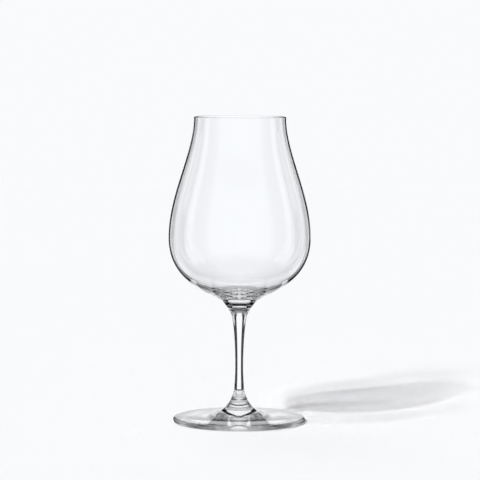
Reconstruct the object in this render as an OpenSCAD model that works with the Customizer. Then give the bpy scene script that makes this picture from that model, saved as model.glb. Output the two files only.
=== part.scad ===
// Tulip wine glass in clear crystal, standing on its foot.
// It is three pieces of glass, each its own solid: a foot, a stem and a bowl, stacked on one axis.
// They meet face to face at two flat fused seams, one under the stem and one over it.
// Millimetres, +Z up. The origin is the middle of the ring that the foot stands on.

/* [Bowl] */
// Height of the bowl, from its seam with the stem to the top of the rim
bowl_h = 130; // [115:1:150]
// Outside diameter at the rim
rim_d = 60; // [50:0.5:72]
// Outside diameter at the belly, the widest place
belly_d = 92.8; // [82:0.2:104]
// Height of the belly above the seam with the stem
belly_up = 51; // [45:0.5:58]
// Diameter where the underside turns hollow and becomes the root, the solid cone over the stem
root_d = 34; // [28:0.5:42]
// Height of that turn above the seam with the stem
root_up = 13; // [10:0.5:16]
// Slope of the underside at that turn, in degrees above the horizontal
root_slope = 24; // [16:1:32]

/* [Bowl wall] */
// Wall at the rim, which is fire-polished to a half round
rim_wall = 0.9; // [0.7:0.1:1.8]
// Wall at the belly
belly_wall = 1.1; // [0.8:0.1:2.2]
// Height of the cavity's floor above the turn of the underside
floor_up = 0.75; // [0:0.25:8]

/* [Stem] */
// Length of the stem, from seam to seam
stem_len = 49; // [30:1:90]
// Diameter at the seam with the bowl
stem_top_d = 10; // [8:0.1:14]
// Diameter at the waist, the thinnest place
waist_d = 5.2; // [4:0.1:7]
// Height of the waist above the seam with the foot
waist_up = 15; // [10:0.5:24]
// Diameter at the seam with the foot
stem_base_d = 6.4; // [5.5:0.1:9]
// Lean of the stem's side at the seam with the bowl, in degrees from the vertical
top_lean = 22; // [10:1:35]
// Lean of the stem's side at the seam with the foot, in degrees from the vertical
base_lean = 3; // [0:1:12]

/* [Foot] */
// Outside diameter of the foot
foot_d = 86.4; // [70:0.2:100]
// Height of the foot, from the table to its seam with the stem
foot_h = 21; // [16:0.5:28]
// Thickness of the foot's rounded edge
foot_edge = 3.4; // [2:0.1:4.4]
// Diameter where the flare under the stem runs out into the disc
flare_d = 42.8; // [32:0.2:56]
// Height of the disc's upper face there
flare_up = 5.2; // [4.6:0.1:7]
// Lean of the flare at the seam with the stem, in degrees from the vertical
flare_lean = 16; // [6:1:30]
// Width of the flat ring that the foot stands on
ring_w = 5; // [3:0.5:10]
// Rise of the shallow hollow inside that ring
hollow_up = 2; // [0.6:0.1:2.8]

/* [Curves] */
// Pull of the rim on the neck, as a share of the height from belly to rim
neck_pull = 0.30; // [0.15:0.01:0.5]
// Pull of the belly on the shoulder, as a share of the same height
shoulder_pull = 0.37; // [0.2:0.01:0.55]
// Pull of the belly on the hip below it, as a share of the height from the turn to the belly
hip_pull = 0.67; // [0.45:0.01:0.8]
// Pull of the turn on the hip, as a share of the width from the turn to the belly
underside_pull = 0.33; // [0.2:0.01:0.5]
// Pull of the turn on the root, as a share of the width from the stem to the turn
root_pull = 0.64; // [0.4:0.01:0.8]
// Pull of the stem on the root, as a share of the turn's height
collar_pull = 0.26; // [0.1:0.01:0.5]
// Pull of the belly on the cavity's side, as a share of the height from its floor to the belly
side_pull = 0.78; // [0.6:0.01:0.85]
// Pull of the cavity's floor, as a share of the inside radius at the belly
floor_pull = 0.36; // [0.28:0.01:0.6]
// Pull of the bowl on the stem, as a share of the height from waist to top
stem_top_pull = 0.05; // [0.03:0.01:0.4]
// Pull of the waist on the stem above it, as a share of the same height
stem_waist_pull = 0.60; // [0.3:0.01:0.8]
// Pull of the waist and of the foot on the stem below the waist, as a share of the waist's height
stem_base_pull = 0.29; // [0.15:0.01:0.45]
// Pull of the stem on the flare, as a share of the height from the disc to the seam
flare_pull = 0.41; // [0.2:0.01:0.6]
// Pull of the disc on the flare, as a share of the width from the stem to the disc
disc_pull = 0.78; // [0.5:0.01:0.9]

/* [Hidden] */
$fn = 96;

// Segments in each long curve and in each small rounding
curve_steps = 24;
arc_steps = 10;

// Heights of the two seams above the table
foot_seam_z = foot_h;
bowl_seam_z = foot_h + stem_len;

// Radii taken from the diameters
rim_r = rim_d / 2;
belly_r = belly_d / 2;
root_r = root_d / 2;
stem_top_r = stem_top_d / 2;
waist_r = waist_d / 2;
stem_base_r = stem_base_d / 2;
foot_r = foot_d / 2;
flare_r = flare_d / 2;

// Rounding of the rim, the height where it starts, and the height from belly to there
rim_round = rim_wall / 2;
lip_z = bowl_h - rim_round;
lip_span = lip_z - belly_up;

// Inside of the bowl
rim_inside_r = rim_r - rim_wall;
belly_inside_r = belly_r - belly_wall;
floor_z = root_up + floor_up;

// Rounding of the foot's edge, where its flat faces begin, and the sphere that its hollow is cut from
edge_round = foot_edge / 2;
edge_r = foot_r - edge_round;
hollow_r = edge_r - ring_w;
hollow_sphere_r = (hollow_r * hollow_r + hollow_up * hollow_up) / (2 * hollow_up);
hollow_angle = asin(hollow_r / hollow_sphere_r);

// Slope of the disc's upper face, in degrees above the horizontal
disc_slope = atan2(flare_up - foot_edge, edge_r - flare_r);

// Direction in the profile's plane that rises while leaning outwards from the vertical
function leaning(angle) = [sin(angle), cos(angle)];

// Cubic curve from a to d, pulled towards b and c
function curve(a, b, c, d) = [
    for (i = [0:curve_steps])
        let (t = i / curve_steps, s = 1 - t)
        s * s * s * a + 3 * s * s * t * b + 3 * s * t * t * c + t * t * t * d
];

// Round stretch about a centre, between two angles from the outward direction
function arc(centre, radius, from, to) = [
    for (i = [0:arc_steps])
        let (angle = from + (to - from) * i / arc_steps)
        centre + radius * [cos(angle), sin(angle)]
];

// The points of a stretch after its first, which the stretch before it already holds
function onward(points) = [for (i = [1:len(points) - 1]) points[i]];

// Outside of the bowl, upwards: the root over the stem, the hip, then the shoulder and neck
function root_curve(seam, turn) = curve(
    seam,
    seam + collar_pull * root_up * leaning(top_lean),
    turn - root_pull * (root_r - stem_top_r) * leaning(90 - root_slope),
    turn
);

function hip_curve(turn, belly) = curve(
    turn,
    turn + underside_pull * (belly_r - root_r) * leaning(90 - root_slope),
    belly - [0, hip_pull * (belly_up - root_up)],
    belly
);

// The neck rises from belly to lip with an upright side at both, outside and inside alike
function neck_curve(belly, lip) = curve(
    belly,
    belly + [0, shoulder_pull * lip_span],
    lip - [0, neck_pull * lip_span],
    lip
);

// Inside of the bowl below the belly: an upright side that turns into a level floor
function cavity_curve(belly, floor_centre) = curve(
    belly,
    belly - [0, side_pull * (belly_up - floor_z)],
    floor_centre + [floor_pull * belly_inside_r, 0],
    floor_centre
);

function reversed(points) = [for (i = [len(points) - 1:-1:0]) points[i]];

// Blown bowl: a thin shell that thickens into the solid root over the stem
module bowl() {
    seam = [stem_top_r, 0];
    turn = [root_r, root_up];
    belly = [belly_r, belly_up];
    belly_inside = [belly_inside_r, belly_up];
    lip_inside = [rim_inside_r, lip_z];
    color("aliceblue", 0.35)
        translate([0, 0, bowl_seam_z])
            rotate_extrude()
                polygon(concat(
                    [[0, 0]],
                    root_curve(seam, turn),
                    onward(hip_curve(turn, belly)),
                    onward(neck_curve(belly, [rim_r, lip_z])),
                    onward(arc([rim_r - rim_round, lip_z], rim_round, 0, 180)),
                    onward(reversed(neck_curve(belly_inside, lip_inside))),
                    onward(cavity_curve(belly_inside, [0, floor_z]))
                ));
}

// Drawn stem: a solid rod that swells at both ends to meet the bowl and the foot
module stem() {
    base = [stem_base_r, 0];
    waist = [waist_r, waist_up];
    top = [stem_top_r, stem_len];
    rise = stem_len - waist_up;
    color("aliceblue", 0.35)
        translate([0, 0, foot_seam_z])
            rotate_extrude()
                polygon(concat(
                    [[0, 0]],
                    curve(
                        base,
                        base + stem_base_pull * waist_up * leaning(-base_lean),
                        waist - [0, stem_base_pull * waist_up],
                        waist
                    ),
                    onward(curve(
                        waist,
                        waist + [0, stem_waist_pull * rise],
                        top - stem_top_pull * rise * leaning(top_lean),
                        top
                    )),
                    [[0, stem_len]]
                ));
}

// Foot: a disc with a rounded edge, a flare that rises to the stem, and a shallow hollow underneath
module foot() {
    disc = [flare_r, flare_up];
    seam = [stem_base_r, foot_h];
    hollow_floor = [0, hollow_up - hollow_sphere_r];
    color("aliceblue", 0.35)
        rotate_extrude()
            polygon(concat(
                arc(hollow_floor, hollow_sphere_r, 90, 90 - hollow_angle),
                arc([edge_r, edge_round], edge_round, -90, 90),
                curve(
                    disc,
                    disc + disc_pull * (flare_r - stem_base_r) * leaning(disc_slope - 90),
                    seam - flare_pull * (foot_h - flare_up) * leaning(-flare_lean),
                    seam
                ),
                [[0, foot_h]]
            ));
}

bowl();
stem();
foot();
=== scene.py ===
import math

import bpy
import numpy as np
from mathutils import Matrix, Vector


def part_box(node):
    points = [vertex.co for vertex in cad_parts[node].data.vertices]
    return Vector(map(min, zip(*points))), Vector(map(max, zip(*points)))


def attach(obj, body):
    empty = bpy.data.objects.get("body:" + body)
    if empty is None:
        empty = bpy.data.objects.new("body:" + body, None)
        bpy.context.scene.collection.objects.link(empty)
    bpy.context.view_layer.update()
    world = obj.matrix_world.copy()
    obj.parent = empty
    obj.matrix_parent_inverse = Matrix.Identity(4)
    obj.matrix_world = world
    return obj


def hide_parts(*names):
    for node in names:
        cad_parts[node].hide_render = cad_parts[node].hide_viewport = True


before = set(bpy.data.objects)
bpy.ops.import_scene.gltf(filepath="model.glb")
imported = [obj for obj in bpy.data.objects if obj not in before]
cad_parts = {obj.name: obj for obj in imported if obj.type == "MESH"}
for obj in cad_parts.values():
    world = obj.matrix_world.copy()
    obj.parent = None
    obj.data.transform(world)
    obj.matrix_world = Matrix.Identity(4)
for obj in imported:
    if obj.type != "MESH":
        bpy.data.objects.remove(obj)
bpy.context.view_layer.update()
scene = bpy.context.scene
scene.view_settings.view_transform = "Standard"
print("frame loaded:", sorted(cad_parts))


# Shapes: every piece is a profile of (radius, height) points, carried round the upright axis

creaseDegrees = 35


def lean(degrees):
    # unit direction in the profile's plane that rises while leaning outwards from the vertical
    angle = math.radians(degrees)
    return np.array([math.sin(angle), math.cos(angle)])


def bezier(a, b, c, d, steps):
    # s^3 a + 3 s^2 t b + 3 s t^2 c + t^3 d, with s = 1 - t, for t from 0 to 1
    a, b, c, d = (np.asarray(point, float) for point in (a, b, c, d))
    t = np.linspace(0.0, 1.0, steps + 1)[:, None]
    s = 1.0 - t
    return s**3 * a + 3 * s**2 * t * b + 3 * s * t**2 * c + t**3 * d


def arc(centre, radius, fromDegrees, toDegrees, steps):
    # centre + radius (cos angle, sin angle), the angle going evenly from one end to the other
    angle = np.radians(np.linspace(fromDegrees, toDegrees, steps + 1))
    return np.asarray(centre, float) + radius * np.stack([np.cos(angle), np.sin(angle)], axis=1)


def chain(*stretches):
    # stretches end to end, each without its first point where the one before already holds it
    points = [stretches[0]]
    for stretch in stretches[1:]:
        repeats = np.allclose(stretch[0], points[-1][-1], atol=1e-9)
        points.append(stretch[1:] if repeats else stretch)
    return np.vstack(points)


def revolve(name, profile, around, capRings):
    # point(i, j) = (r_i cos a_j, r_i sin a_j, z_i); the profile's two ends lie on the axis and become
    # single poles, so the mesh is closed. capRings names the ends ("first", "last") that are seam discs.
    rings = profile[1:-1]
    ringCount = len(rings)
    angle = np.linspace(0.0, 2 * math.pi, around, endpoint=False)
    grid = np.empty((ringCount, around, 3))
    grid[:, :, 0] = rings[:, 0, None] * np.cos(angle)
    grid[:, :, 1] = rings[:, 0, None] * np.sin(angle)
    grid[:, :, 2] = rings[:, 1, None]
    poles = np.array([[0, 0, profile[0, 1]], [0, 0, profile[-1, 1]]])
    points = np.vstack([grid.reshape(-1, 3), poles])
    firstPole, lastPole = len(points) - 2, len(points) - 1
    index = np.arange(ringCount * around).reshape(ringCount, around)
    following = np.roll(index, -1, axis=1)
    walls = np.stack([index[:-1], following[:-1], following[1:], index[1:]], axis=-1).reshape(-1, 4)
    firstFan = np.stack([np.full(around, firstPole), following[0], index[0]], axis=-1)
    lastFan = np.stack([np.full(around, lastPole), index[-1], following[-1]], axis=-1)
    mesh = bpy.data.meshes.new(name)
    mesh.from_pydata(points.tolist(), [], walls.tolist() + firstFan.tolist() + lastFan.tolist())
    slots = np.zeros(len(mesh.polygons), np.int32)
    if "first" in capRings:
        slots[len(walls):len(walls) + around] = 1
    if "last" in capRings:
        slots[len(walls) + around:] = 1
    mesh.polygons.foreach_set("material_index", slots)
    mesh.polygons.foreach_set("use_smooth", np.ones(len(mesh.polygons), bool))
    mesh.set_sharp_from_angle(angle=math.radians(creaseDegrees))
    mesh.update()
    piece = bpy.data.objects.new(name, mesh)
    scene.collection.objects.link(piece)
    return piece


def seatPiece(piece, node, materials):
    for material in materials:
        piece.data.materials.append(material)
    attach(piece, "root")
    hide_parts(node)
    return piece


# Finishes

def firePolish():
    # slow waves that a flame leaves in glass, as a height from 0 to 1
    group = bpy.data.node_groups.new("firePolish", "ShaderNodeTree")
    group.interface.new_socket("Place", in_out="INPUT", socket_type="NodeSocketVector")
    group.interface.new_socket("Height", in_out="OUTPUT", socket_type="NodeSocketFloat")
    nodes, links = group.nodes, group.links
    waves = nodes.new("ShaderNodeTexNoise")
    waves.inputs["Scale"].default_value = 1.0
    waves.inputs["Detail"].default_value = 1.0
    links.new(nodes.new("NodeGroupInput").outputs["Place"], waves.inputs["Vector"])
    links.new(waves.outputs["Fac"], nodes.new("NodeGroupOutput").inputs["Height"])
    return group


glass = {
    "tint": (0.99, 0.995, 1.0),
    "ior": 1.52,
    "waveHeight": 0.00003,
}


def crystalMaterial(name, waves):
    # waves: how many of them there are to a metre along X, Y and Z
    material = bpy.data.materials.new(name)
    material.use_nodes = True
    nodes, links = material.node_tree.nodes, material.node_tree.links
    shader = nodes["Principled BSDF"]
    shader.inputs["Base Color"].default_value = (*glass["tint"], 1)
    shader.inputs["Roughness"].default_value = 0.0
    shader.inputs["IOR"].default_value = glass["ior"]
    shader.inputs["Transmission Weight"].default_value = 1.0
    coordinate = nodes.new("ShaderNodeTexCoord")
    stretch = nodes.new("ShaderNodeMapping")
    stretch.inputs["Scale"].default_value = waves
    links.new(coordinate.outputs["Object"], stretch.inputs["Vector"])
    surface = nodes.new("ShaderNodeGroup")
    surface.node_tree = polish
    links.new(stretch.outputs[0], surface.inputs["Place"])
    bump = nodes.new("ShaderNodeBump")
    bump.inputs["Distance"].default_value = glass["waveHeight"]
    links.new(surface.outputs["Height"], bump.inputs["Height"])
    links.new(bump.outputs["Normal"], shader.inputs["Normal"])
    return material


def seamMaterial():
    # the glass of a hot seam has flowed together, so its disc shows nothing
    material = bpy.data.materials.new("fusedSeam")
    material.use_nodes = True
    shader = material.node_tree.nodes["Principled BSDF"]
    shader.inputs["Alpha"].default_value = 0.0
    return material


polish = firePolish()
seam = seamMaterial()

bowlLow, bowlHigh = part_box("bowl")
stemLow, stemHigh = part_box("stem")
footLow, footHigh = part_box("foot")
millimetre = 0.001

bowl = {
    "rimRadius": 30.0,
    "bellyUp": 51.0,
    "rootRadius": 17.0,
    "rootUp": 13.0,
    "rootSlope": 24.0,
    "seamRadius": 5.0,
    "seamLean": 22.0,
    "rimWall": 0.9,
    "bellyWall": 1.1,
    "floorUp": 0.75,
    "neckPull": 0.30,
    "shoulderPull": 0.37,
    "hipPull": 0.67,
    "undersidePull": 0.33,
    "rootPull": 0.64,
    "collarPull": 0.26,
    "sidePull": 0.78,
    "floorPull": 0.36,
    "around": 240,
    "steps": {"root": 40, "hip": 56, "neck": 64, "lip": 20, "cavity": 72},
    "waves": (40, 40, 15),
}


def makeBowl():
    s, steps = bowl, bowl["steps"]
    bowlHeight = (bowlHigh.z - bowlLow.z) / millimetre
    bellyRadius = bowlHigh.x / millimetre
    rimRound = s["rimWall"] / 2
    lipUp = bowlHeight - rimRound
    lipSpan = lipUp - s["bellyUp"]
    floorUp = s["rootUp"] + s["floorUp"]
    insideRadius = bellyRadius - s["bellyWall"]
    seamEdge = np.array([s["seamRadius"], 0.0])
    turn = np.array([s["rootRadius"], s["rootUp"]])
    belly = np.array([bellyRadius, s["bellyUp"]])
    inside = np.array([insideRadius, s["bellyUp"]])
    slope = lean(90 - s["rootSlope"])
    up = np.array([0.0, 1.0])
    out = np.array([1.0, 0.0])

    def neck(start, lip):
        return bezier(start, start + s["shoulderPull"] * lipSpan * up,
                      lip - s["neckPull"] * lipSpan * up, lip, steps["neck"])

    root = bezier(seamEdge, seamEdge + s["collarPull"] * s["rootUp"] * lean(s["seamLean"]),
                  turn - s["rootPull"] * (s["rootRadius"] - s["seamRadius"]) * slope, turn, steps["root"])
    hip = bezier(turn, turn + s["undersidePull"] * (bellyRadius - s["rootRadius"]) * slope,
                 belly - s["hipPull"] * (s["bellyUp"] - s["rootUp"]) * up, belly, steps["hip"])
    outerNeck = neck(belly, np.array([s["rimRadius"], lipUp]))
    lip = arc([s["rimRadius"] - rimRound, lipUp], rimRound, 0, 180, steps["lip"])
    innerNeck = neck(inside, np.array([s["rimRadius"] - s["rimWall"], lipUp]))[::-1]
    floor = np.array([0.0, floorUp])
    cavity = bezier(inside, inside - s["sidePull"] * (s["bellyUp"] - floorUp) * up,
                    floor + s["floorPull"] * insideRadius * out, floor, steps["cavity"])
    profile = chain(np.array([[0.0, 0.0]]), root, hip, outerNeck, lip, innerNeck, cavity)
    profile = profile * millimetre + [0.0, bowlLow.z]
    piece = revolve("tulip_bowl", profile, s["around"], ["first"])
    return seatPiece(piece, "bowl", [crystalMaterial("blownCrystal", s["waves"]), seam])


stem = {
    "topRadius": 5.0,
    "waistRadius": 2.6,
    "waistUp": 15.0,
    "baseRadius": 3.2,
    "topLean": 22.0,
    "baseLean": 3.0,
    "topPull": 0.05,
    "waistPull": 0.60,
    "basePull": 0.29,
    "around": 160,
    "steps": {"lower": 32, "upper": 64},
    "waves": (200, 200, 15),
}


def makeStem():
    s, steps = stem, stem["steps"]
    length = (stemHigh.z - stemLow.z) / millimetre
    rise = length - s["waistUp"]
    base = np.array([s["baseRadius"], 0.0])
    waist = np.array([s["waistRadius"], s["waistUp"]])
    top = np.array([s["topRadius"], length])
    up = np.array([0.0, 1.0])
    lower = bezier(base, base + s["basePull"] * s["waistUp"] * lean(-s["baseLean"]),
                   waist - s["basePull"] * s["waistUp"] * up, waist, steps["lower"])
    upper = bezier(waist, waist + s["waistPull"] * rise * up,
                   top - s["topPull"] * rise * lean(s["topLean"]), top, steps["upper"])
    profile = chain(np.array([[0.0, 0.0]]), lower, upper, np.array([[0.0, length]]))
    profile = profile * millimetre + [0.0, stemLow.z]
    piece = revolve("drawn_stem", profile, s["around"], ["first", "last"])
    return seatPiece(piece, "stem", [crystalMaterial("drawnCrystal", s["waves"]), seam])


foot = {
    "edge": 3.4,
    "flareRadius": 21.4,
    "flareUp": 5.2,
    "flareLean": 16.0,
    "seamRadius": 3.2,
    "ringWidth": 5.0,
    "hollowUp": 2.0,
    "flarePull": 0.41,
    "discPull": 0.78,
    "around": 240,
    "steps": {"hollow": 24, "edge": 32, "flare": 80},
    "waves": (60, 60, 150),
}


def makeFoot():
    s, steps = foot, foot["steps"]
    height = (footHigh.z - footLow.z) / millimetre
    edgeRound = s["edge"] / 2
    edgeRadius = footHigh.x / millimetre - edgeRound
    hollowRadius = edgeRadius - s["ringWidth"]
    sphereRadius = (hollowRadius**2 + s["hollowUp"]**2) / (2 * s["hollowUp"])
    hollowAngle = math.degrees(math.asin(hollowRadius / sphereRadius))
    discSlope = math.degrees(math.atan2(s["flareUp"] - s["edge"], edgeRadius - s["flareRadius"]))
    disc = np.array([s["flareRadius"], s["flareUp"]])
    seamEdge = np.array([s["seamRadius"], height])
    hollow = arc([0.0, s["hollowUp"] - sphereRadius], sphereRadius, 90, 90 - hollowAngle, steps["hollow"])
    hollow[0, 0] = 0.0
    edge = arc([edgeRadius, edgeRound], edgeRound, -90, 90, steps["edge"])
    flare = bezier(disc, disc + s["discPull"] * (s["flareRadius"] - s["seamRadius"]) * lean(discSlope - 90),
                   seamEdge - s["flarePull"] * (height - s["flareUp"]) * lean(-s["flareLean"]), seamEdge,
                   steps["flare"])
    profile = chain(hollow, edge, flare, np.array([[0.0, height]]))
    profile = profile * millimetre + [0.0, footLow.z]
    piece = revolve("round_foot", profile, s["around"], ["last"])
    return seatPiece(piece, "foot", [crystalMaterial("spunCrystal", s["waves"]), seam])


pieces = [makeBowl(), makeStem(), makeFoot()]
print("pieces made:", [piece.name for piece in pieces])


# Stage

def toLinear(*levels):
    # sRGB levels from 0 to 255 as linear light
    share = np.array(levels) / 255.0
    return tuple(np.where(share <= 0.04045, share / 12.92, ((share + 0.055) / 1.055) ** 2.4))


pale = toLinear(249, 250, 252)

studio = {
    "ambient": 0.15,
    # lamps as far away as the sun, which light the table evenly: the way their light goes in degrees from +X
    # towards +Y, their height and width in degrees, and their share of the table's light
    "lamps": [(58, 36, 6, 0.28), (49, 43, 2, 0.27), (30, 56, 6, 0.22), (-66, 50, 30, 0.1)],
    "bounces": 32,
    "tableHalf": 3.0,
    "shellRings": 64,
    "shellAround": 128,
}

# Shells round the glass that stand still in the room and that only the glass shows. A patch that shines, and the cover
# that nothing behind it shows through, are two lists of levels that are multiplied: one goes by the angle in degrees
# from straight behind the glass, one by the height in degrees above the shell's middle. A third value narrows a patch
# towards the top, in degrees of angle for each degree of height.
tent = {
    # a pale panel close behind the glass with black cloth to both sides of it
    "radius": 0.25,
    "up": 0.1,
    "shine": [([(0, 1.04), (17.0, 1.04), (17.8, 0.0)],
               [(-56, 0.0), (-50, 0.1), (-42, 0.4), (-34, 1.0), (30, 1.0), (38, 0.1)], 0.14)],
    "cover": ([(33, 1.0), (36, 0.0)], [(-42, 0.0), (-38, 1.0)], -0.1),
}

collar = {
    # black cloth close round the stem, open straight behind it
    "radius": 0.035,
    "up": 0.042,
    "shine": [],
    "cover": ([(15, 0.0), (17, 1.0), (60, 1.0), (64, 0.0)], [(-62, 0.0), (-58, 1.0), (38, 1.0), (48, 0.0)]),
}

footShadeBand = {
    # a narrow black band round the foot at the table's height, which only the glass shows: painted shade that stands
    # for the table's shade round the foot
    "radius": 0.06,
    "up": 0.0,
    "shine": [],
    "cover": ([(0, 1.0)], [(-12, 0.0), (-10, 1.0), (1, 1.0), (2, 0.0)]),
}

walls = {
    # the room: pale walls, tall windows to the sides, dimmer walls on the camera's side
    "radius": 3.0,
    "up": 0.1,
    "shine": [([(0, 0.9), (56, 0.9), (60, 0.0)],
               [(-66, 0.9), (-56, 0.6), (-38, 0.6), (-32, 1.0), (38, 1.0), (48, 0.4)]),
              ([(56, 0.0), (60, 0.06), (97, 0.06), (99, 0.4), (118, 0.5), (130, 0.85), (180, 0.9)],
               [(-66, 0.9), (-56, 0.6), (-38, 0.6), (-32, 1.0), (38, 1.0), (48, 0.4), (90, 0.2)]),
              ([(79, 0.0), (81, 0.9), (96, 0.9), (98, 0.0)],
               [(-40, 0.0), (-34, 0.8), (6, 0.8), (10, 1.0), (42, 1.0), (48, 0.0)]),
              ([(63, 0.0), (67, 0.6), (75, 0.6), (78, 0.0)],
               [(8, 0.0), (12, 1.0), (42, 1.0), (48, 0.0)])],
}


def setLightPaths():
    # light that runs to and fro inside the glass is followed until it leaves, also from the table's side
    paths = scene.cycles
    paths.max_bounces = paths.glossy_bounces = paths.transmission_bounces = studio["bounces"]
    paths.transparent_max_bounces = studio["bounces"]
    paths.blur_glossy = 0.0
    paths.sample_clamp_indirect = 0.0
    paths.use_guiding = True


def makeWorld():
    world = bpy.data.worlds.new("studio")
    scene.world = world
    world.use_nodes = True
    nodes, links = world.node_tree.nodes, world.node_tree.links
    path = nodes.new("ShaderNodeLightPath")
    view = nodes.new("ShaderNodeMix")
    view.data_type = "RGBA"
    links.new(path.outputs["Is Camera Ray"], view.inputs["Factor"])
    # inputs 6 and 7 and output 2 are the node's colours
    view.inputs[6].default_value = (studio["ambient"],) * 3 + (1,)
    view.inputs[7].default_value = (*pale, 1)
    links.new(view.outputs[2], nodes["Background"].inputs["Color"])


def makeFloor():
    mesh = bpy.data.meshes.new("table")
    half = studio["tableHalf"]
    mesh.from_pydata([(-half, -half, 0), (half, -half, 0), (half, half, 0), (-half, half, 0)], [], [(0, 1, 2, 3)])
    table = bpy.data.objects.new("table", mesh)
    scene.collection.objects.link(table)
    material = bpy.data.materials.new("tablePaper")
    material.use_nodes = True
    nodes, links = material.node_tree.nodes, material.node_tree.links
    shader = nodes["Principled BSDF"]
    light = studio["ambient"] + sum(share for _, _, _, share in studio["lamps"])
    shader.inputs["Base Color"].default_value = tuple(channel / light for channel in pale) + (1,)
    shader.inputs["Roughness"].default_value = 1.0
    shader.inputs["Specular IOR Level"].default_value = 0.0
    # rays from the glass go through the table to the shells, which reach below it
    path = nodes.new("ShaderNodeLightPath")
    seen = nodes.new("ShaderNodeMath")
    seen.operation = "MAXIMUM"
    links.new(path.outputs["Is Glossy Ray"], seen.inputs[0])
    links.new(path.outputs["Is Transmission Ray"], seen.inputs[1])
    clear = nodes.new("ShaderNodeBsdfTransparent")
    mix = nodes.new("ShaderNodeMixShader")
    links.new(seen.outputs[0], mix.inputs[0])
    links.new(shader.outputs[0], mix.inputs[1])
    links.new(clear.outputs[0], mix.inputs[2])
    links.new(mix.outputs[0], nodes["Material Output"].inputs["Surface"])
    mesh.materials.append(material)


def makeLamps():
    for place, (turn, height, width, share) in enumerate(studio["lamps"]):
        lamp = bpy.data.lights.new(f"lamp{place}", "SUN")
        turn, height = math.radians(turn), math.radians(height)
        lamp.energy = share * math.pi / math.sin(height)
        lamp.angle = math.radians(width)
        holder = bpy.data.objects.new(f"lamp{place}", lamp)
        scene.collection.objects.link(holder)
        way = Vector((math.cos(turn) * math.cos(height), math.sin(turn) * math.cos(height), -math.sin(height)))
        holder.rotation_euler = way.to_track_quat("-Z", "Y").to_euler()
        holder.visible_glossy = False


def makeShell(name, settings):
    radius = settings["radius"]
    shell = revolve(name, arc([0.0, 0.0], radius, -90, 90, studio["shellRings"]), studio["shellAround"], [])
    shell.location = (0.0, 0.0, settings["up"])
    shell.visible_camera = shell.visible_diffuse = shell.visible_shadow = False
    material = bpy.data.materials.new(name + "Cloth")
    material.use_nodes = True
    material.cycles.emission_sampling = "NONE"
    nodes, links = material.node_tree.nodes, material.node_tree.links
    nodes.remove(nodes["Principled BSDF"])
    coordinate = nodes.new("ShaderNodeTexCoord")
    split = nodes.new("ShaderNodeSeparateXYZ")
    links.new(coordinate.outputs["Object"], split.inputs[0])

    def reckon(operation, *values):
        node = nodes.new("ShaderNodeMath")
        node.operation = operation
        for socket, value in zip(node.inputs, values):
            if isinstance(value, (int, float)):
                socket.default_value = value
            else:
                links.new(value, socket)
        return node.outputs[0]

    def levels(place, low, high, stops):
        # a ramp over low to high degrees
        ramp = nodes.new("ShaderNodeValToRGB")
        links.new(place, ramp.inputs[0])
        elements = ramp.color_ramp.elements
        elements.remove(elements[-1])
        for number, (degrees, level) in enumerate(stops):
            position = (degrees - low) / (high - low)
            stop = elements.new(position) if number else elements[0]
            stop.position = position
            stop.color = (level, level, level, 1)
        return ramp.outputs[0]

    angle = reckon("ABSOLUTE", reckon("ARCTAN2", split.outputs["X"], split.outputs["Y"]))
    around = reckon("DIVIDE", angle, math.pi)
    height = reckon("ARCSINE", reckon("DIVIDE", split.outputs["Z"], radius))
    upward = reckon("ADD", reckon("DIVIDE", height, math.pi), 0.5)

    def patch(byAngle, byHeight, narrowing=0.0):
        narrowed = reckon("ADD", around, reckon("MULTIPLY", height, narrowing / math.pi))
        return reckon("MULTIPLY", levels(narrowed, 0, 180, byAngle), levels(upward, -90, 90, byHeight))

    shine = 0.0
    for light in settings["shine"]:
        shine = reckon("ADD", patch(*light), shine)
    glow = nodes.new("ShaderNodeEmission")
    glow.inputs["Color"].default_value = (*pale, 1)
    if settings["shine"]:
        links.new(shine, glow.inputs["Strength"])
    else:
        glow.inputs["Strength"].default_value = shine
    # light on its way to the table passes
    path = nodes.new("ShaderNodeLightPath")
    shown = reckon("LESS_THAN", path.outputs["Diffuse Depth"], 0.5)
    if "cover" in settings:
        shown = reckon("MULTIPLY", patch(*settings["cover"]), shown)
    clear = nodes.new("ShaderNodeBsdfTransparent")
    mix = nodes.new("ShaderNodeMixShader")
    links.new(shown, mix.inputs[0])
    links.new(clear.outputs[0], mix.inputs[1])
    links.new(glow.outputs[0], mix.inputs[2])
    links.new(mix.outputs[0], nodes["Material Output"].inputs["Surface"])
    shell.data.materials.append(material)


camera = {
    "distance": 1.534,
    "aside": -0.0002,
    "height": 0.237,
    "pitch": 4.38,
    "roll": -0.21,
    "focalPixels": 2356.0,
    "imagePixels": 480,
}


def makeCamera():
    lens = bpy.data.cameras.new("camera")
    lens.sensor_width = 36.0
    lens.lens = camera["focalPixels"] / camera["imagePixels"] * lens.sensor_width
    holder = bpy.data.objects.new("camera", lens)
    scene.collection.objects.link(holder)
    holder.location = (camera["aside"], -camera["distance"], camera["height"])
    holder.rotation_euler = (math.radians(90 - camera["pitch"]), math.radians(camera["roll"]), 0.0)
    scene.camera = holder


setLightPaths()
makeWorld()
makeFloor()
makeLamps()
makeCamera()
makeShell("collar", collar)
# the black band round the foot is painted shade of the table round the foot, as the glass shows it
makeShell("footShadeBand", footShadeBand)
makeShell("tent", tent)
makeShell("walls", walls)
print("stage set")
